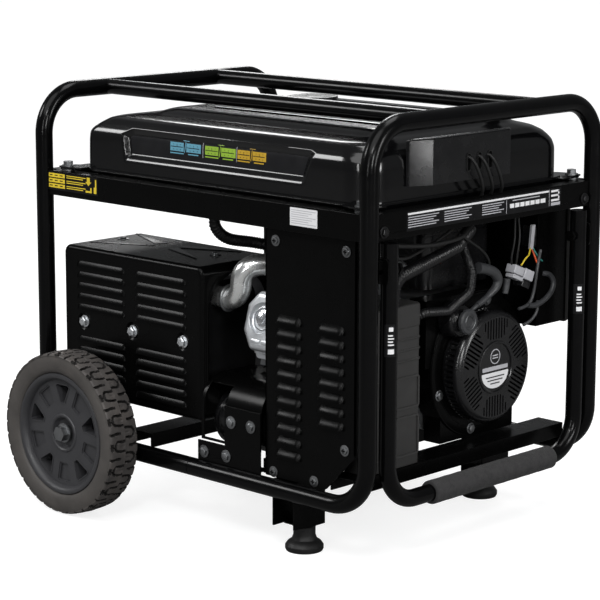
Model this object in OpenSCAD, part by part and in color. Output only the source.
// Portable open-frame generator, assembly in millimetres.
// Origin: on the ground plane under the middle of the frame.
// +X towards the recoil and handle end, -X wheel end, -Y the guard side, +Y the control panel side, +Z up.

/* [Frame] */
// Distance between the corner tube centres along the long side
frame_l = 684; // [560:1:800]
// Distance between the corner tube centres across the frame
frame_w = 508; // [420:1:620]
// Height of the top rail centreline above the ground
top_z = 641.5; // [560:0.5:760]
// Height of the bottom rail centreline above the ground
rail_z = 101; // [90:0.5:140]
// Outside diameter of the frame tube
tube_d = 27; // [22:0.5:34]
// Wall of the frame tube
tube_wall = 1.8; // [1.2:0.1:3]
// Centreline bend radius of the frame tube
bend_r = 66; // [50:1:90]
// Half spacing of the two top bars
bar_y = 122; // [90:1:180]

/* [Tank band] */
// Lower edge of the sheet band that carries the tank
band_z0 = 482; // [460:1:500]
// Upper edge of the sheet band
band_z1 = 520; // [505:1:540]
// Sheet thickness of the band and the brackets
sheet_t = 2.5; // [1.5:0.1:3.5]

/* [Wheels] */
// Tyre outside diameter
tyre_d = 254; // [230:1:280]
// Tyre width
tyre_w = 56; // [45:1:70]
// Wheel centre along the frame
wheel_x = -225; // [-260:1:-180]
// Distance from the middle of the frame to the middle of the tyre
wheel_y = 309; // [300:1:340]
// Axle bolt diameter
axle_d = 16; // [12:0.5:20]

/* [Feet] */
// Foot position along the frame
foot_x = 174; // [140:1:220]
// Half spacing of the feet across the frame
foot_y = 203; // [180:1:240]

/* [Handle] */
// Half spacing of the handle legs
leg_y = 216; // [190:1:232]
// Handle tube diameter
handle_d = 25; // [20:0.5:28]
// Height of the handle pivot
pivot_z = 440; // [400:1:470]
// Height of the handle cross bar centreline when folded
grip_z = 104; // [90:1:160]

/* [Engine] */
// Crank axis offset from the middle of the frame
crank_y = 75; // [40:1:110]
// Crank axis height
crank_z = 250; // [220:1:280]
// Front face of the recoil starter cover
recoil_x = 305; // [290:1:320]
// Recoil starter cover radius
recoil_r = 86; // [75:1:95]
// Tilt of the cylinder above the horizontal
tilt = 16; // [5:1:25]

/* [Hidden] */
$fn = 64;
hx = frame_l / 2;
hy = frame_w / 2;
tr = tube_d / 2;
hr = handle_d / 2;
bx = 112; // X of the cylinder bore
wr = tyre_d / 2;
ey = crank_y;
ez = crank_z;
g = 0.4;
black = [0.06, 0.06, 0.065];
steel = [0.62, 0.63, 0.65];

// ---- helpers -------------------------------------------------------------
function unit(v) = v / norm(v);
module sec(r, w) { if (w > 0) difference() { circle(r); circle(r - w); } else circle(r); }
module frame_at(o, x, z) { y = cross(z, x); multmatrix([[x[0], y[0], z[0], o[0]], [x[1], y[1], z[1], o[1]], [x[2], y[2], z[2], o[2]], [0, 0, 0, 1]]) children(); }
function perp(z) = unit(cross(z, abs(z[2]) < 0.9 ? [0, 0, 1] : [1, 0, 0]));
module bar(a, b, r, w = 0) { d = unit(b - a); frame_at(a, perp(d), d) linear_extrude(norm(b - a)) sec(r, w); }
// a round bar or tube through the points p with fillet radius R at each inner point
module run(p, r, w = 0, R = 40) {
    n = len(p);
    t = [for (i = [0:n - 1]) i == 0 || i == n - 1 ? 0 : let (u = unit(p[i - 1] - p[i]), v = unit(p[i + 1] - p[i]), f = 180 - acos(u * v)) R * tan(f / 2)];
    for (i = [0:n - 2]) { d = unit(p[i + 1] - p[i]); if (norm(p[i + 1] - p[i]) - t[i] - t[i + 1] > 0.01) bar(p[i] + d * t[i], p[i + 1] - d * t[i + 1], r, w); }
    for (i = [1:n - 2]) {
        u = unit(p[i - 1] - p[i]); v = unit(p[i + 1] - p[i]); f = 180 - acos(u * v);
        if (f > 0.5) {
            c = p[i] + unit(u + v) * R / cos(f / 2);
            e1 = unit(p[i] + u * t[i] - c); e2 = unit(p[i] + v * t[i] - c);
            frame_at(c, e1, unit(cross(e1, e2))) rotate_extrude(angle = f) translate([R, 0]) sec(r, w);
        }
    }
}
// points along p with each corner rounded by n chords of radius R
function arc_pts(a, b, c, R, n) = let (u = unit(a - b), v = unit(c - b), f = 180 - acos(u * v)) f < 1 ? [b] : let (k = R / cos(f / 2), o = b + unit(u + v) * k, t = R * tan(f / 2), e1 = unit(b + u * t - o), w = unit(cross(e1, b + v * t - o)), e2 = cross(w, e1)) [for (i = [0:n]) o + R * (e1 * cos(f * i / n) + e2 * sin(f * i / n))];
function soft_path(p, R, n) = [p[0], for (i = [1:len(p) - 2]) each arc_pts(p[i - 1], p[i], p[i + 1], R, n), p[len(p) - 1]];
// a hose: straight lengths joined by ball joints slightly larger than the hose
module hose(p, r, R, n = 3) { q = soft_path(p, R, n); for (i = [0:len(q) - 2]) bar(q[i], q[i + 1], r); for (i = [1:len(q) - 2]) translate(q[i]) sphere(r = r * 1.03); }
module box(a, b) translate(a) cube(b - a);
module rrect(x0, y0, x1, y1, r) { // a rectangle with round corners, exact arcs
    translate([x0 + r, y0]) square([x1 - x0 - 2 * r, y1 - y0]);
    translate([x0, y0 + r]) square([x1 - x0, y1 - y0 - 2 * r]);
    for (x = [x0 + r, x1 - r], y = [y0 + r, y1 - r]) translate([x, y]) circle(r);
}
module along_x(x0, x1) translate([x0, 0, 0]) rotate([90, 0, 90]) linear_extrude(x1 - x0) children(); // 2-D is Y,Z
module along_y(y0, y1) translate([0, y1, 0]) rotate([90, 0, 0]) linear_extrude(y1 - y0) children(); // 2-D is X,Z
module up(z0, z1) translate([0, 0, z0]) linear_extrude(z1 - z0) children();
module cyl_x(x0, x1, y, z, r) translate([x0, y, z]) rotate([0, 90, 0]) cylinder(h = x1 - x0, r = r);
module cyl_y(y0, y1, x, z, r) translate([x, y1, z]) rotate([90, 0, 0]) cylinder(h = y1 - y0, r = r);
module hex_y(y0, y1, x, z, r) translate([x, y1, z]) rotate([90, 0, 0]) cylinder(h = y1 - y0, r = r, $fn = 6);
module hex_x(x0, x1, y, z, r) translate([x0, y, z]) rotate([0, 90, 0]) cylinder(h = x1 - x0, r = r, $fn = 6);
module crank_frame() translate([0, ey, ez]) children();
// frame of the tilted cylinder: local -Y runs from the crank axis to the head
module jug() translate([0, ey, ez]) rotate([-tilt, 0, 0]) children();

// ---- frame ----------------------------------------------------------------
seam_x = -10;
module hoop(sx, x_end) {
    run([[x_end, -hy, rail_z], [sx * hx, -hy, rail_z], [sx * hx, -hy, top_z], [sx * hx, hy, top_z], [sx * hx, hy, rail_z], [x_end, hy, rail_z]], tr, tube_wall, bend_r);
}
module frame_left_hoop() color(black) hoop(-1, seam_x);
module frame_right_hoop() color(black) hoop(1, seam_x + 1);
module top_bars() color(black) for (s = [-1, 1]) difference() {
    bar([-hx + 2, s * bar_y, top_z], [hx - 2, s * bar_y, top_z], 12, 1.8);
    for (e = [-1, 1]) bar([e * hx, s * bar_y - 30, top_z], [e * hx, s * bar_y + 30, top_z], tr + 0.05);
}
cm_z0 = rail_z + tr;
cm_h = 22;
cm = [[-120, -hy - 4], [150, -hy + tr + 0.4], [284, -hy + tr + 0.4]]; // X centre and near end of each
// folded channels across the frame, on the bottom rails
function iso_y(x) = x < 0 ? 84 : 62; // half spacing of the rubber mounts
module cross_members() color(black) for (v = cm) translate([v[0], 0, 0]) difference() {
    box([-24, v[1], cm_z0], [24, v[0] > 200 ? hy - tr - 0.4 : hy + 4, cm_z0 + cm_h]);
    box([-24 + sheet_t, v[1] - 1, cm_z0 - 1], [24 - sheet_t, hy + 5, cm_z0 + cm_h - sheet_t]);
    if (v[0] < 200) for (e = [-1, 1]) translate([0, ey + e * iso_y(v[0]), cm_z0]) cylinder(h = 40, r = 5.2);
}
ax_z = wr;
ab_y = 244;
module axle_brackets() color(black) for (s = [-1, 1]) difference() {
    along_y(s > 0 ? ab_y : -ab_y - 16, s > 0 ? ab_y + 16 : -ab_y) polygon([[wheel_x - 40, rail_z + tr + 0.2], [wheel_x + 40, rail_z + tr + 0.2], [wheel_x + 16, ax_z + 17], [wheel_x - 16, ax_z + 17]]);
    cyl_y(-hy - 30, hy + 30, wheel_x, ax_z, axle_d / 2 + 0.15);
}
// U shaped sheet legs hung from the bottom rails, each with a slot window
fb = [foot_x - 22, foot_x + 22];
module foot_brackets() color(black) for (s = [-1, 1]) difference() {
    mirror([0, s > 0 ? 1 : 0, 0]) {
        for (x = [fb[0], fb[1] - sheet_t]) box([x, -hy + 6, 42], [x + sheet_t, -foot_y + 21, 112.5]);
        box([fb[0], -foot_y - 21, 40], [fb[1], -foot_y + 21, 42.5]);
        box([fb[0], -hy + 6, 110], [fb[1], -foot_y + 21, 112.5]);
    }
    bar([foot_x - 50, s * hy, rail_z], [foot_x + 50, s * hy, rail_z], tr + 0.1);
    translate([foot_x, s * foot_y, 30]) cylinder(h = 30, r = 5.2);
}
module rubber_feet() color([0.09, 0.09, 0.09]) for (s = [-1, 1]) translate([foot_x, s * foot_y, 0]) {
    rotate_extrude() polygon([[0, 0], [27, 0], [28.5, 3], [28.5, 8], [25, 13], [19, 17], [16.5, 24], [16.5, 36], [18.5, 38], [18.5, 40 - 0.05], [0, 40 - 0.05]]);
    cylinder(h = 52, r = 4.8);
    translate([0, 0, 40 + sheet_t + 0.05]) cylinder(h = 6, r = 9, $fn = 6);
}

// ---- tank band --------------------------------------------------------------
// channel section: web outside, two flanges turned inwards
module chan(l, h, d, t) { square([t, h]); square([d, t]); translate([0, h - t]) square([d, t]); }
bl = hx - tr - 0.3;
ear_x = [-304, 314]; ear_y = 238; // tank bolts
bw = hy - tr - 0.3;
module band_side(s) mirror([0, s > 0 ? 1 : 0, 0]) difference() {
    union() {
        box([-bl, -hy - 4, band_z0], [bl, -hy - 4 + sheet_t, band_z1]);
        for (z = [band_z0, band_z1 - sheet_t]) box([-bl + 4.6, -hy - 4, z], [bl - 4.6, -hy + 23, z + sheet_t]);
    }
    for (x = ear_x) translate([x, -ear_y, band_z1 - 5]) cylinder(h = 10, r = 4.2);
}
module band_near() color(black) band_side(-1);
module band_far() color(black) band_side(1);
module band_end(s) mirror([s < 0 ? 1 : 0, 0, 0]) difference() {
    along_y(-bw, bw) translate([hx + 4, band_z0]) mirror([1, 0]) chan(0, band_z1 - band_z0, 22, sheet_t);
    for (e = [-1, 1]) cyl_x(hx - 30, hx + 10, e * (bw - 12), band_z0 + 12, 3.2);
}
module band_ends() color(black) { band_end(-1); band_end(1); }
module band_bolts() for (e = [-1, 1], s = [-1, 1]) {
    cyl_x(min(s * (hx - 2), s * (hx + 4 + 0.05)), max(s * (hx - 2), s * (hx + 4 + 0.05)), e * (bw - 12), band_z0 + 12, 3);
    hex_x(s > 0 ? hx + 4.05 : -hx - 8.05, s > 0 ? hx + 8.05 : -hx - 4.05, e * (bw - 12), band_z0 + 12, 6);
}

// ---- wheels -----------------------------------------------------------------
w0 = wheel_y - tyre_w / 2;
w1 = wheel_y + tyre_w / 2;
module axle(s) mirror([0, s > 0 ? 0 : 1, 0]) {
    cyl_y(ab_y - 16, w1 - 8, wheel_x, ax_z, axle_d / 2);
    hex_y(ab_y - 12, ab_y - 0.1, wheel_x, ax_z, 13);
    cyl_y(w1 - 16, w1 - 13, wheel_x, ax_z, 15);
    hex_y(w1 - 13, w1 - 3, wheel_x, ax_z, 12);
    difference() { cyl_y(ab_y + 16.1, w0 + 3.4, wheel_x, ax_z, 12); cyl_y(ab_y, w1, wheel_x, ax_z, axle_d / 2 - 0.5); }
}
module axles() color(steel) { axle(-1); axle(1); }
// revolve about the wheel axis: profile in (radius, y)
module about_axle(s) translate([wheel_x, 0, ax_z]) mirror([0, s > 0 ? 0 : 1, 0]) rotate([-90, 0, 0]) children();
module tyre(s) about_axle(s) rotate_extrude() polygon([[98, w0 + 3], [103, w0], [118, w0 + 1], [124, w0 + 5], [wr, w0 + 12], [wr, w1 - 12], [124, w1 - 5], [118, w1 - 1], [103, w1], [98, w1 - 3], [94.5, w1 - 8], [94.5, w0 + 8]]);
module rim(s) about_axle(s) difference() {
    rotate_extrude() polygon([[axle_d / 2 + 0.08, w0 + 4], [24, w0 + 4], [27, w0 + 14], [82, w0 + 16], [84, w0 + 6], [94, w0 + 8.2], [94.2, w1 - 8.2], [84, w1 - 6], [80, w1 - 15], [32, w1 - 13], [29, w1 - 5], [22, w1 - 5], [22, w1 - 17], [axle_d / 2 + 0.08, w1 - 17]]);
    rotate_extrude() polygon([[34, w0 + 22], [76, w0 + 24], [76, w1 - 23], [34, w1 - 21]]);
    for (i = [0:4]) rotate([0, 0, i * 72 - 18]) translate([0, 0, w0 - 1]) linear_extrude(tyre_w + 2) polygon([[48, -5], [73, -15.5], [77, -10], [77, 10], [73, 15.5], [48, 5]]);
}
module tyre_near() color([0.05, 0.05, 0.05]) tyre(-1);
module tyre_far() color([0.05, 0.05, 0.05]) tyre(1);
module rim_near() color([0.2, 0.2, 0.21]) rim(-1);
module rim_far() color([0.2, 0.2, 0.21]) rim(1);
// ---- handle -----------------------------------------------------------------
px = hx + 4; // plane of the folded handle
module handle_brackets() for (s = [-1, 1]) difference() {
    union() {
        along_y(s > 0 ? leg_y + hr + 0.6 : -leg_y - hr - 3.6, s > 0 ? leg_y + hr + 3.6 : -leg_y - hr - 0.6) rrect(hx - 12, pivot_z - 18, hx + 16, pivot_z + 18, 8);
        box([hx - 8, s > 0 ? leg_y + hr + 3.6 : -hy + tr - 1, pivot_z - 15], [hx + 8, s > 0 ? hy - tr + 1 : -leg_y - hr - 3.6, pivot_z + 15]);
    }
    bar([hx, s * hy, pivot_z - 40], [hx, s * hy, pivot_z + 40], tr + 0.05);
    cyl_y(-hy, hy, px, pivot_z, 5.06);
}
module handle_pins() for (s = [-1, 1]) {
    cyl_y(s * leg_y - hr - 3.7, s * leg_y + hr + 3.7, px, pivot_z, 5);
    hex_y(s > 0 ? leg_y - hr - 8.7 : -leg_y + hr + 3.7, s > 0 ? leg_y - hr - 3.7 : -leg_y + hr + 8.7, px, pivot_z, 8.5);
}
module handle_pivots() color(black) { handle_brackets(); handle_pins(); }
module handle_tube() color(black) difference() {
    union() {
        run([[px, -leg_y, 476], [px, -leg_y, grip_z], [px, leg_y, grip_z], [px, leg_y, 476]], hr, 1.8, 58);
        for (s = [-1, 1]) { translate([px, s * leg_y, 476]) cylinder(h = 2, r = hr); cyl_y(s * leg_y - hr + 0.9, s * leg_y + hr - 0.9, px, pivot_z, 8); }
    }
    cyl_y(-hy, hy, px, pivot_z, 5.06);
}
module handle_grip() color([0.13, 0.13, 0.13]) difference() {
    cyl_y(-124, 156, px, grip_z, 17.5);
    cyl_y(-160, 200, px, grip_z, hr + 0.1);
}

// ---- near side panels ---------------------------------------------------------
lp = -hy + 9; // outside face of the louvred panel
panel_screw = [[156, 463], [293, 463], [292, 179], [233, 123], [152, 122]];
louver = concat([for (i = [0:10]) [157, 350.3 - 19.75 * i]], [for (i = [0:7]) [240, 349.8 - 19.6 * i]]);
module louver_panel() color(black) difference() {
    union() {
        along_y(lp, lp + sheet_t) polygon([[135, 114.7], [254.7, 114.7], [311, 171], [311, band_z0 - 1], [135, band_z0 - 1]]);
        box([135, lp, 138], [135 + sheet_t, lp + 14, band_z0 - 1]);
        box([311 - sheet_t, lp, 172], [311, lp + 14, band_z0 - 1]);
        for (v = louver) along_x(v[0], v[0] + 48) polygon([[lp, v[1] + 6], [lp, v[1] + 4], [lp - 5, v[1] - 2], [lp - 5, v[1] - 4], [lp - 4, v[1] - 4], [lp - 4, v[1] - 1.5], [lp + 1, v[1] + 4.5]]);
    }
    for (v = louver) along_y(lp - 1, lp + 5) translate([v[0] + 1.5, v[1] - 4]) square([45, 6]);
    for (v = panel_screw) cyl_y(lp - 5, lp + 5, v[0], v[1], 3.2);
}
module panel_screws() for (v = panel_screw) { cyl_y(lp - 3.4, lp - 0.05, v[0], v[1], 6.5); cyl_y(lp - 0.1, lp + 9, v[0], v[1], 3); }
cb = -hy + 1; // outside face of the canister bracket
can_screw = [[72, 183], [113, 183], [15, 129], [62, 130]];
module canister_bracket() color(black) { bracket_plate(); shield(); }
module bracket_plate() difference() {
    union() {
        along_y(cb, cb + sheet_t) polygon([[1, 108], [132, 108], [132, 206], [58, 206], [58, 145], [1, 145]]);
        box([1, cb, cm_z0 + 0.2], [124, cb + 26, cm_z0 + 0.2 + sheet_t]);
    }
    for (v = can_screw) cyl_y(cb - 5, cb + 5, v[0], v[1], 3.2);
    bar([-60, -hy, rail_z], [200, -hy, rail_z], tr + 0.1);
}
module canister_screws() for (v = can_screw) { hex_y(cb - 4, cb - 0.05, v[0], v[1], 6.5); cyl_y(cb - 0.1, cb + 8, v[0], v[1], 3); }
cy0 = -188; cz0 = 174; // canister axis
module shield() difference() {
    union() {
        along_x(3.6, 128) { difference() { translate([-202, 196]) circle(46); translate([-202, 196]) circle(44); translate([-202, 100]) square([100, 200]); translate([-260, 96]) square([120, 100]); } translate([-248, 146]) square([2, 50]); translate([-202, 240]) square([62, 2]); }
    }
    box([10, -260, 150], [56, -230, 232]);
    for (v = can_screw) cyl_y(-260, -240, v[0], v[1], 3.4);
}
module carbon_canister() color([0.05, 0.05, 0.05]) difference() {
    union() {
        cyl_x(12, 120, cy0, cz0, 44);
        cyl_x(8, 124, cy0, cz0, 40);
    }
    cyl_x(14, 118, cy0, cz0, 42);
}
// ---- muffler and its guard -----------------------------------------------------
gx0 = -312; gx1 = 3; gy0 = -244; gy1 = -92; gz0 = 169; gz1 = 404;
guard_bolt = [[-265, 286], [-153, 286], [-41, 286]];
guard_rows = 11;
module guard_skin(o) along_x(gx0 + o, gx1 - o) difference() { union() { translate([gy0 + o, gz0 + o]) square([gy1 - gy0 - 2 * o, gz1 - gz0 - 2 * o]); } }
module muffler_guard() color(black) difference() {
    guard_skin(0);
    guard_skin(2);
    box([gx0 + 20, gy1 - 5, gz0 + 20], [gx1 - 20, gy1 + 5, gz1 - 20]);
    box([gx1 - 5, gy0 + 12, gz0 + 60], [gx1 + 5, gy1 - 14, gz1 - 14]);
    for (i = [0:guard_rows - 1]) {
        if (i != 5) box([gx0 + 34, gy0 - 1, gz1 - 29 - i * 17], [gx0 + 142, gy0 + 5, gz1 - 25 - i * 17]);
        if (i != 5) box([gx1 - 147, gy0 - 1, gz1 - 29 - i * 17], [gx1 - 36, gy0 + 5, gz1 - 25 - i * 17]);
    }
    for (v = guard_bolt) cyl_y(gy0 - 3, gy0 + 5, v[0], v[1], 4.2);
}
module guard_bolts() for (v = guard_bolt) { cyl_y(gy0 - 1.6, gy0 - 0.05, v[0], v[1], 9); hex_y(gy0 - 7, gy0 - 1.6, v[0], v[1], 7); cyl_y(gy0 - 0.1, gy0 + 18, v[0], v[1], 4); }
module sheet_screws() color([0.2, 0.2, 0.2]) { panel_screws(); canister_screws(); }
module hex_bolts() color(steel) { guard_bolts(); band_bolts(); }
module muffler() color([0.3, 0.29, 0.28]) difference() {
    along_x(gx0 + 26, gx1 - 26) rrect(gy0 + 19, gz0 + 36, gy1 - 14, gz1 - 30, 40);
    along_x(gx0 + 28, gx1 - 28) rrect(gy0 + 21, gz0 + 38, gy1 - 16, gz1 - 32, 38);
    cyl_x(gx1 - 40, gx1, -190, 352, 17.3);
    cyl_x(gx0 + 10, gx0 + 50, -150, 230, 14);
}
port = [bx - 20, ey - 240 * cos(tilt) + 64 * sin(tilt), ez + 240 * sin(tilt) + 64 * cos(tilt)]; // mouth of the exhaust port
module exhaust_pipe() color([0.6, 0.6, 0.61]) difference() { for (k = [0, 1]) if (k == 0) hose([port + [0, 0.1, 0.3], port + [0, 34 * sin(tilt), 34 * cos(tilt)], [36, -192, 404], [26, -190, 352], [gx1 - 34, -190, 352]], 16.5, 20); }

// ---- fuel tank ------------------------------------------------------------------
tx0 = -276; tx1 = 312; ty = 226; tz0 = 525.2; tz1 = 622;
module tank_plan(o) rrect(tx0 - 80, -ty + o, tx1 - o, ty - o, 44 - o);
module tank_end(o) rrect(tx0 + o, -ty + o, tx1 + 80, ty - o, 20 - o);
module tank_form(o) intersection() {
    up(tz0 - 1, tz1 + 5) tank_plan(o);
    up(tz0 - 1, tz1 + 5) tank_end(o);
    along_y(-ty - 5, ty + 5) polygon([[tx0 + o, tz0 - 1], [tx0 + o, 582], [tx0 + 6 + o, 590 - o], [tx0 + 22 + o, 604 - o], [tx0 + 50 + o, 610 - o], [-196 + o, 612 - o], [-172 + o, tz1 - o], [262 - o, tz1 - o], [280 - o, 618 - o], [tx1 - 6 - o, 600 - o], [tx1 - o, 580], [tx1 - o, tz0 - 1]]);
    along_x(tx0 - 5, tx1 + 5) polygon([[-ty + o, tz0 - 1], [-ty + o, 584], [-ty + 5 + o, 591 - o], [-ty + 16 + o, 603 - o], [-ty + 52 + o, 611 - o], [-150 + o, tz1 - o], [150 - o, tz1 - o], [ty - 52 - o, 611 - o], [ty - 30 - o, 600 - o], [ty - o, 572], [ty - o, tz0 - 1]]);
}
cap_x = -40; cap_y = 40;
module ear_plan(r) for (x = ear_x, y = [-ear_y, ear_y]) translate([x, y]) circle(r);
module flange_plan() { rrect(tx0 - 12, -ty - 6, tx1 + 4, ty + 6, 40); ear_plan(12); for (x = ear_x, e = [-1, 1]) translate([x - 12, e > 0 ? 200 : -ear_y]) square([24, ear_y - 200]); for (e = [-1, 1]) translate([ear_x[0] - 6, e > 0 ? 196 : -226]) square([30, 30]); for (e = [-1, 1]) translate([ear_x[1] - 34, e > 0 ? 196 : -226]) square([34, 30]); }
module tank_upper() color([0.03, 0.03, 0.03]) difference() {
    union() { difference() { tank_form(0); up(tz0 - 5, tz0) square([900, 900], center = true); } up(tz0, tz0 + 2) flange_plan(); translate([cap_x, cap_y, tz1 - 2]) cylinder(h = 5, r = 30); }
    tank_form(2);
    translate([cap_x, cap_y, tz1 - 10]) cylinder(h = 30, r = 26);
    up(tz0 - 5, tz0 + 5) ear_plan(4.2);
    box([-186, -ty - 3, 548], [196, -ty + 1.2, 590]);
}
module tank_lower() color([0.03, 0.03, 0.03]) difference() {
    union() { up(tz0 - 2.1, tz0 - 0.1) flange_plan(); up(474, tz0 - 2) rrect(tx0, -ty + 4, tx1 - 4, ty - 4, 40); }
    up(476, tz0 + 1) rrect(tx0 + 2, -ty + 6, tx1 - 6, ty - 6, 38);
    up(tz0 - 5, tz0 + 5) ear_plan(4.2);
    translate([-60, -150, 470]) cylinder(h = 20, r = 6);
}
module tank_bolts() color(steel) for (x = ear_x, y = [-ear_y, ear_y]) translate([x, y, 0]) {
    difference() { translate([0, 0, band_z1 + 0.1]) cylinder(h = tz0 - 2.2 - band_z1 - 0.1, r = 10); translate([0, 0, band_z1 - 5]) cylinder(h = 30, r = 3.5); }
    translate([0, 0, band_z1 - 8]) cylinder(h = 16, r = 3.9);
    translate([0, 0, tz0 + 2.05]) cylinder(h = 1.6, r = 10);
    translate([0, 0, tz0 + 3.65]) cylinder(h = 6, r = 7.5, $fn = 6);
}
module fuel_cap() color([0.1, 0.1, 0.1]) difference() {
    translate([cap_x, cap_y, tz1 + 1]) cylinder(h = 13, r = 38);
    translate([cap_x, cap_y, tz1]) cylinder(h = 11, r = 30.5);
    for (a = [0:24:359]) translate([cap_x, cap_y, 0]) rotate([0, 0, a]) translate([39, 0, tz1]) cylinder(h = 40, r = 3);
}
// hood over the tank vent, on the recoil end of the tank
module vent_cover() color([0.08, 0.08, 0.085]) difference() {
    union() {
        up(546, 612) polygon([[tx1 + 0.4, -146], [tx1 + 6, -142], [331, -108], [331, 66], [tx1 + 6, 82], [tx1 + 0.4, 84]]);
    }
    up(540, 609.5) polygon([[tx1 - 2, -143], [tx1 + 5, -139], [328.5, -107], [328.5, 65], [tx1 + 5, 79], [tx1 - 2, 80]]);
    for (y = [-30, -5, 18]) box([320, y - 5, 560], [340, y + 5, 590]);
}

// ---- engine ---------------------------------------------------------------------
cx0 = 62; cx1 = 232;
module crank_hole(x0, x1, r) cyl_x(x0, x1, ey, ez, r);
module crankcase() color([0.5, 0.5, 0.51]) difference() {
    union() {
        along_x(cx0, cx1) rrect(ey - 92, 152, ey + 92, 352, 26);
        box([cx0 + 66, ey - 100, 146], [cx0 + 112, ey + 100, 158]);
        crank_hole(cx1 - 1, cx1 + 4, 52);
    }
    along_x(cx0 + 12, cx1 - 12) rrect(ey - 80, 164, ey + 80, 340, 16);
    crank_hole(cx0 - 5, cx1 + 10, 17.06);
    jug() cyl_y(-200, -60, bx, 0, 50.3);
    for (y = [-62, 62]) translate([150, ey + y, 140]) cylinder(h = 20, r = 5.2);
}
module jug_trim() box([-50, ey - 92.3, 100], [300, ey + 150, 400]);
module cylinder_barrel() color([0.6, 0.6, 0.61]) difference() {
    union() {
        difference() { jug() { cyl_y(-206, -70, bx, 0, 56); for (i = [0:7]) box([bx - 72, -204 + i * 10.5, -62], [bx + 72, -200.6 + i * 10.5, 62]); } jug_trim(); }
        jug() cyl_y(-150, -74, bx, 0, 50);
    }
    jug() cyl_y(-210, -60, bx, 0, 45.3);
}
module cylinder_head() color([0.62, 0.62, 0.63]) jug() difference() {
    union() {
        along_y(-228, -206.1) rrect(bx - 66, -58, bx + 66, 58, 14);
        along_y(-262, -228) rrect(bx - 58, -50, bx + 58, 50, 12);
        for (i = [0:1]) box([bx - 74, -224 + i * 11, -64], [bx + 74, -220 + i * 11, 64]);
        bar([bx + 34, -240, 20], [bx + 34, -240, 86], 18); // intake port
        bar([bx - 20, -240, 20], [bx - 20, -240, 64], 21.8); // exhaust port
    }
    bar([bx - 20, -240, 22], [bx - 20, -240, 90], 15.5);
    cyl_y(-222, -200, bx, 0, 40);
    for (x = [-46, 46], z = [-38, 38]) cyl_y(-250, -240, bx + x, z, 5);
}
module valve_cover() color([0.72, 0.72, 0.73]) jug() difference() {
    union() {
        along_y(-270, -262.1) polygon([[bx - 62, -24], [bx - 40, -54], [bx + 40, -54], [bx + 62, -24], [bx + 62, 24], [bx + 40, 54], [bx - 40, 54], [bx - 62, 24]]);
        along_y(-300, -270) polygon([[bx - 54, -18], [bx - 34, -45], [bx + 34, -45], [bx + 54, -18], [bx + 54, 22], [bx + 34, 45], [bx - 34, 45], [bx - 54, 22]]);
    }
    along_y(-292, -261) polygon([[bx - 50, -17], [bx - 32, -41], [bx + 32, -41], [bx + 50, -17], [bx + 50, 20], [bx + 32, 41], [bx - 32, 41], [bx - 50, 20]]);
    cyl_y(-301, -296, bx, 12, 24);
    cyl_y(-301, -280, bx, 12, 4.2);
}
module piston() color([0.7, 0.7, 0.7]) jug() {
    difference() { cyl_y(-190, -146, bx, 0, 45); cyl_y(-184, -140, bx, 0, 39); for (y = [-186, -180, -174]) difference() { cyl_y(y - 1, y + 0.6, bx, 0, 46); cyl_y(y - 2, y + 1.6, bx, 0, 43); } }
    translate([bx - 40, -160, 0]) rotate([0, 90, 0]) cylinder(h = 80, r = 9);
    box([bx - 7, -160, -9], [bx + 7, -66, 9]);
}
// rotates with the flywheel and the alternator rotor
module crankshaft() color(steel) {
    crank_hole(-256, bx - 16, 17);
    crank_hole(bx + 16, 268, 17);
    for (x = [bx - 22, bx + 10]) crank_hole(x, x + 12, 58);
    translate([bx - 14, ey, ez - 36]) rotate([0, 90, 0]) cylinder(h = 28, r = 15);
}
fl0 = 240;
module flywheel_fan() color([0.45, 0.45, 0.46]) difference() {
    union() {
        crank_hole(fl0, fl0 + 10, 102);
        crank_hole(fl0, fl0 + 24, 30);
        for (a = [0:20:359]) crank_frame() rotate([a, 0, 0]) box([fl0 + 9, -2, 60], [fl0 + 22, 2, 100]);
        difference() { crank_hole(fl0 + 9, fl0 + 27, 40); crank_hole(fl0 + 8, fl0 + 40, 36); }
    }
    crank_hole(fl0 - 5, fl0 + 30, 17.02);
}
module rotor() color([0.45, 0.3, 0.2]) difference() {
    union() { crank_hole(-166, -4, 61); crank_hole(-232, -214, 40); }
    crank_hole(-260, 60, 17.02);
    for (a = [45, 135, 225, 315]) crank_frame() rotate([a, 0, 0]) box([-170, -9, 44], [0, 9, 70]);
}
module stator() color([0.35, 0.35, 0.36]) difference() {
    union() {
        crank_hole(-196, 24, 104);
        for (a = [0:30:359]) crank_frame() rotate([a, 0, 0]) box([-190, -3, 100], [18, 3, 108]);
        box([-142, ey - 98, 156], [-98, ey + 98, 172]);
    }
    crank_hole(-200, 30, 62.4);
    crank_hole(-200, -166, 96);
    crank_hole(-2, 30, 96);
    for (e = [-1, 1]) translate([-120, ey + e * iso_y(-1), 140]) cylinder(h = 32.5, r = 5.2);
}
module end_housings() color([0.6, 0.6, 0.61]) {
    difference() { // alternator end bracket with the rear bearing
        crank_hole(-262, -196.1, 108);
        crank_hole(-256, -195, 100);
        crank_hole(-270, -240, 17.06);
        for (a = [0:45:359]) crank_frame() rotate([a + 22, 0, 0]) box([-270, -11, 54], [-250, 11, 92]);
    }
    difference() { // adapter between the alternator and the engine
        union() { crank_hole(24.1, 34, 108); crank_hole(30, 61.9, 92); }
        crank_hole(20, 70, 76);
        for (a = [0:45:359]) crank_frame() rotate([a, 0, 0]) box([38, -14, 70], [56, 14, 110]);
    }
}
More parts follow.
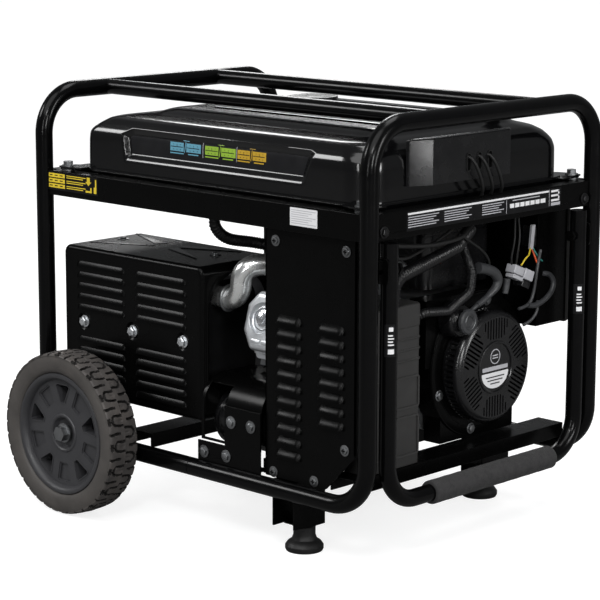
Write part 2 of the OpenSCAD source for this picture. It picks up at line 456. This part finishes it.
module isolators() color([0.1, 0.1, 0.1]) for (x = [-120, 150], e = [-1, 1]) translate([x, ey + e * iso_y(x), 0]) {
    zt = x < 0 ? 156 : 146;
    translate([0, 0, cm_z0 + cm_h + 0.05]) cylinder(h = zt - cm_z0 - cm_h - 0.1, r = 19);
    translate([0, 0, cm_z0 + 8]) cylinder(h = x < 0 ? 54 : 31.5, r = 4.9);
    if (x < 0) translate([0, 0, 172.05]) cylinder(h = 5, r = 8.5, $fn = 6);
}
bh0 = 236.2;
module blower_housing() color([0.07, 0.07, 0.075]) difference() {
    union() {
        crank_hole(bh0, 271, 110);
        box([bh0, ey - 84, ez - 110], [268, ey + 88, ez - 40]);
        box([bh0, ey - 120, ez + 10], [268, ey + 60, ez + 112]);
    }
    crank_hole(bh0 - 1, 268.6, 107);
    crank_hole(bh0 - 1, 280, 80);
    box([bh0 - 1, ey - 81, ez - 107], [265.5, ey + 85, ez - 43]);
    box([bh0 - 1, ey - 117, ez + 13], [265.5, ey + 57, ez + 109]);
}
rc0 = 271.1;
module recoil_cover() color([0.06, 0.06, 0.065]) {
    difference() {
        union() {
            crank_hole(rc0, recoil_x - 8, recoil_r);
            crank_hole(rc0, recoil_x - 4, recoil_r - 2.5);
            crank_hole(rc0, recoil_x, recoil_r - 6);
            crank_frame() translate([rc0, -70, 80]) rotate([0, 90, 0]) cylinder(h = 26, r = 26);
        }
        crank_hole(rc0 - 1, recoil_x - 3, recoil_r - 10);
        crank_hole(recoil_x - 1.2, recoil_x + 1, 38);
        for (k = [0:5]) for (j = [-3:3]) crank_frame() rotate([k * 60, 0, 0]) box([recoil_x - 10, j * 7 - 1.8, 44 + abs(j)], [recoil_x + 5, j * 7 + 1.8, 73 - abs(j) * 1.5]);
        for (a = [0:7.5:359]) crank_frame() rotate([a, 0, 0]) box([rc0 + 5, -1.8, recoil_r - 13], [rc0 + 20, 1.8, recoil_r + 3]);
        crank_frame() translate([rc0 - 1, -70, 80]) rotate([0, 90, 0]) cylinder(h = 40, r = 7);
    }
    crank_hole(rc0 + 2, recoil_x - 2.9, 5.94);
}
module recoil_pulley() color([0.15, 0.15, 0.15]) difference() {
    union() { crank_hole(rc0 + 4, rc0 + 7, 62); crank_hole(rc0 + 4, rc0 + 20, 54); crank_hole(rc0 + 17, rc0 + 20, 62); crank_hole(rc0 + 20, rc0 + 28, 14); }
    crank_hole(rc0, rc0 + 40, 6);
}
module recoil_grip() color([0.09, 0.09, 0.09]) crank_frame() translate([rc0 + 26.4, -70, 80]) rotate([0, 90, 0]) {
    difference() { union() { cylinder(h = 5, r = 13); translate([0, 0, 5]) cylinder(h = 9, r = 19); } translate([0, 0, 11]) cylinder(h = 5, r = 8); }
    translate([0, 0, -8]) cylinder(h = 8.2, r = 2.2);
}
module air_cleaner() color([0.08, 0.08, 0.085]) difference() {
    up(366, 452) rrect(40, 0, 226, 160, 22);
    up(368, 444) rrect(43, 3, 223, 157, 19);
    up(446, 448.5) difference() { rrect(38, -2, 228, 162, 22); rrect(42, 2, 224, 158, 20); }
    bar([180, -10, 392], [180, 20, 392], 15);
}
module carburettor() color([0.6, 0.6, 0.62]) {
    difference() { bar([180, 2, 392], [180, -92, 392], 14.8); bar([180, 10, 392], [180, -100, 392], 11); }
    difference() { box([160, -64, 362], [200, -26, 392]); bar([180, 10, 392], [180, -100, 392], 11); }
}
// ---- electrical -----------------------------------------------------------------
module battery_box() color([0.12, 0.12, 0.13]) difference() {
    up(cm_z0 + cm_h + 0.1, 374) rrect(212, -214, 306, -98, 8);
    up(cm_z0 + cm_h + 3, 371) rrect(215, -211, 303, -101, 5);
    box([304, -190, 262], [307, -112, 306]);
    for (z = [322, 338, 354]) box([304.5, -215, z], [307, -97, z + 3]);
    box([205, -216, 290], [215, -180, 350]);
}
// flexible looms and hoses that stay where they are
module hoses_and_looms() color([0.05, 0.05, 0.05]) {
    vent_hoses();
    hose([[298, -152, 376], [298, -150, 412], [300, -16, 443], [262, 60, 456]], 10, 24);
    hose([[262, -84, 330], [292, -84, 360], [296, -27, 356], [298, 20, 379], [296, 26, 404], [262, 40, 440]], 7, 14);
    hose([[-40, -176, 473.5], [-40, -176, 440], [-10, -70, 420], [30, -14, 396]], 9, 20);
}
module vent_hoses() for (i = [0:2]) translate([0, i * 24, 0])
    hose([[326, -30, 574], [337, -26, 572], [337, -8, 548], [320.6, 2, 530], [320.6, 4, 500]], 2.4, 6, 2);
px0 = -62; px1 = 300; py0 = 177; py1 = 250; pz0 = 297; pz1 = 472;
module control_box() color([0.07, 0.07, 0.075]) difference() {
    box([px0, py0, pz0], [px1, py1, pz1]);
    box([px0 + 2, py0 + 2, pz0 + 2], [px1 - 2, py1 + 1, pz1 - 2]);
}
start_c = [262, 436]; rocker_c = [[214, 436], [166, 436]]; knob_c = [112, 436]; breaker_c = [[-30, 440], [-8, 440]];
lid_c = [[-18, 372]]; round_c = [[64, 372], [146, 372], [228, 372]]; // outlets
pf = py1 + 3; // front of the panel plate
module panel_plate() color([0.1, 0.1, 0.105]) { lid_hinges(); plate(); }
module plate() difference() {
    along_y(py1 + 0.1, pf) rrect(px0 - 4, pz0 - 3, px1 + 4, pz1 + 3, 8);
    cyl_y(py1 - 5, pf + 5, start_c[0], start_c[1], 11);
    for (c = rocker_c) along_y(py1 - 5, pf + 5) translate([c[0] - 9, c[1] - 13]) square([18, 26]);
    cyl_y(py1 - 5, pf + 5, knob_c[0], knob_c[1], 4.06);
    for (c = breaker_c) along_y(py1 - 5, pf + 5) translate([c[0] - 6, c[1] - 12]) square([12, 24]);
    for (c = round_c) cyl_y(py1 - 5, pf + 5, c[0], c[1], 22);
    for (c = lid_c) along_y(py1 - 5, pf + 5) translate([c[0] - 16, c[1] - 28]) square([32, 56]);
}
// fixed faces of the outlets, with contact slots
module panel_outlets() color([0.16, 0.16, 0.17]) {
    for (c = lid_c) difference() {
        along_y(py1 - 14, pf + 1.5) translate([c[0] - 15.5, c[1] - 27.5]) square([31, 55]);
        for (e = [-13, 13]) { for (x = [-6, 6]) box([c[0] + x - 1, pf - 10, c[1] + e - 4], [c[0] + x + 1, pf + 2, c[1] + e + 5]); cyl_y(pf - 10, pf + 2, c[0], c[1] + e - 8, 2.4); }
    }
    for (c = round_c) difference() {
        cyl_y(py1 - 18, pf + 3, c[0], c[1], 21.6);
        for (a = [0:90:359]) translate([c[0], 0, c[1]]) rotate([0, a, 0]) box([-6, pf - 12, 12.5], [6, pf + 4, 14.5]);
    }
}
// hinge ears for the outlet lids
module lid_hinges() for (c = lid_c) for (e = [-1, 1]) difference() {
    box([c[0] + e * 22 - 2, pf + 0.05, c[1] + 29], [c[0] + e * 22 + 2, pf + 10, c[1] + 38]);
    cyl_x(c[0] - 30, c[0] + 30, pf + 5.5, c[1] + 33.5, 2.06);
}
module lid(c) color([0.12, 0.12, 0.12]) {
    cyl_x(c[0] - 23.5, c[0] + 23.5, pf + 5.5, c[1] + 33.5, 2);
    cyl_x(c[0] - 19.5, c[0] + 19.5, pf + 5.5, c[1] + 33.5, 3.6);
    box([c[0] - 19.5, pf + 5.6, c[1] - 33], [c[0] + 19.5, pf + 9, c[1] + 33.5]);
    box([c[0] - 8, pf + 6, c[1] - 37], [c[0] + 8, pf + 9, c[1] - 33]);
}
module outlet_lid() lid(lid_c[0]);
module start_button() color([0.1, 0.35, 0.14]) difference() {
    union() { cyl_y(pf - 10, pf + 6, start_c[0], start_c[1], 10.6); cyl_y(pf - 12, pf - 9, start_c[0], start_c[1], 12.5); }
    translate([start_c[0], pf + 20.2, start_c[1]]) sphere(r = 16);
}
module rocker(c) color([0.45, 0.05, 0.05]) translate([c[0], pf - 2, c[1]]) {
    cyl_x(-8.85, 8.85, 0, 0, 2.2);
    along_x(-8.5, 8.5) polygon([[0, 0], [-6, 5], [4.6, 11.6], [4, 2], [5.6, 0], [6, -2], [8, -11], [4.8, -12], [-6, -5]]);
}
module engine_switch() rocker(rocker_c[0]);
module idle_switch() rocker(rocker_c[1]);
module fuel_knob() color([0.1, 0.1, 0.1]) {
    cyl_y(pf - 14, pf + 4, knob_c[0], knob_c[1], 4);
    cyl_y(pf + 0.4, pf + 6, knob_c[0], knob_c[1], 19);
    box([knob_c[0] - 4, pf + 5, knob_c[1] - 18], [knob_c[0] + 4, pf + 17, knob_c[1] + 18]);
}
// two tied toggles
module main_breaker() color([0.05, 0.05, 0.05]) {
    for (c = breaker_c) translate([c[0], pf - 2, c[1]]) { rotate([0, 90, 0]) translate([0, 0, -5.4]) cylinder(h = 10.8, r = 5); box([-5.4, 0, 0.6], [5.4, 15, 4.6]); }
    box([breaker_c[0][0] - 5.4, pf + 9, 440.6], [breaker_c[1][0] + 5.4, pf + 13.2, 444.6]);
}
frame_left_hoop();
frame_right_hoop();
top_bars();
cross_members();
axle_brackets();
foot_brackets();
rubber_feet();
band_near();
band_far();
band_ends();
axles();
tyre_near();
rim_near();
tyre_far();
rim_far();
handle_pivots();
handle_tube();
handle_grip();
louver_panel();
sheet_screws();
hex_bolts();
canister_bracket();
carbon_canister();
muffler_guard();
muffler();
exhaust_pipe();
tank_lower();
tank_upper();
tank_bolts();
fuel_cap();
vent_cover();
hoses_and_looms();
crankcase();
cylinder_barrel();
cylinder_head();
valve_cover();
piston();
crankshaft();
flywheel_fan();
rotor();
stator();
end_housings();
isolators();
blower_housing();
recoil_cover();
recoil_pulley();
recoil_grip();
air_cleaner();
carburettor();
battery_box();
control_box();
panel_plate();
panel_outlets();
outlet_lid();
start_button();
engine_switch();
idle_switch();
fuel_knob();
main_breaker();
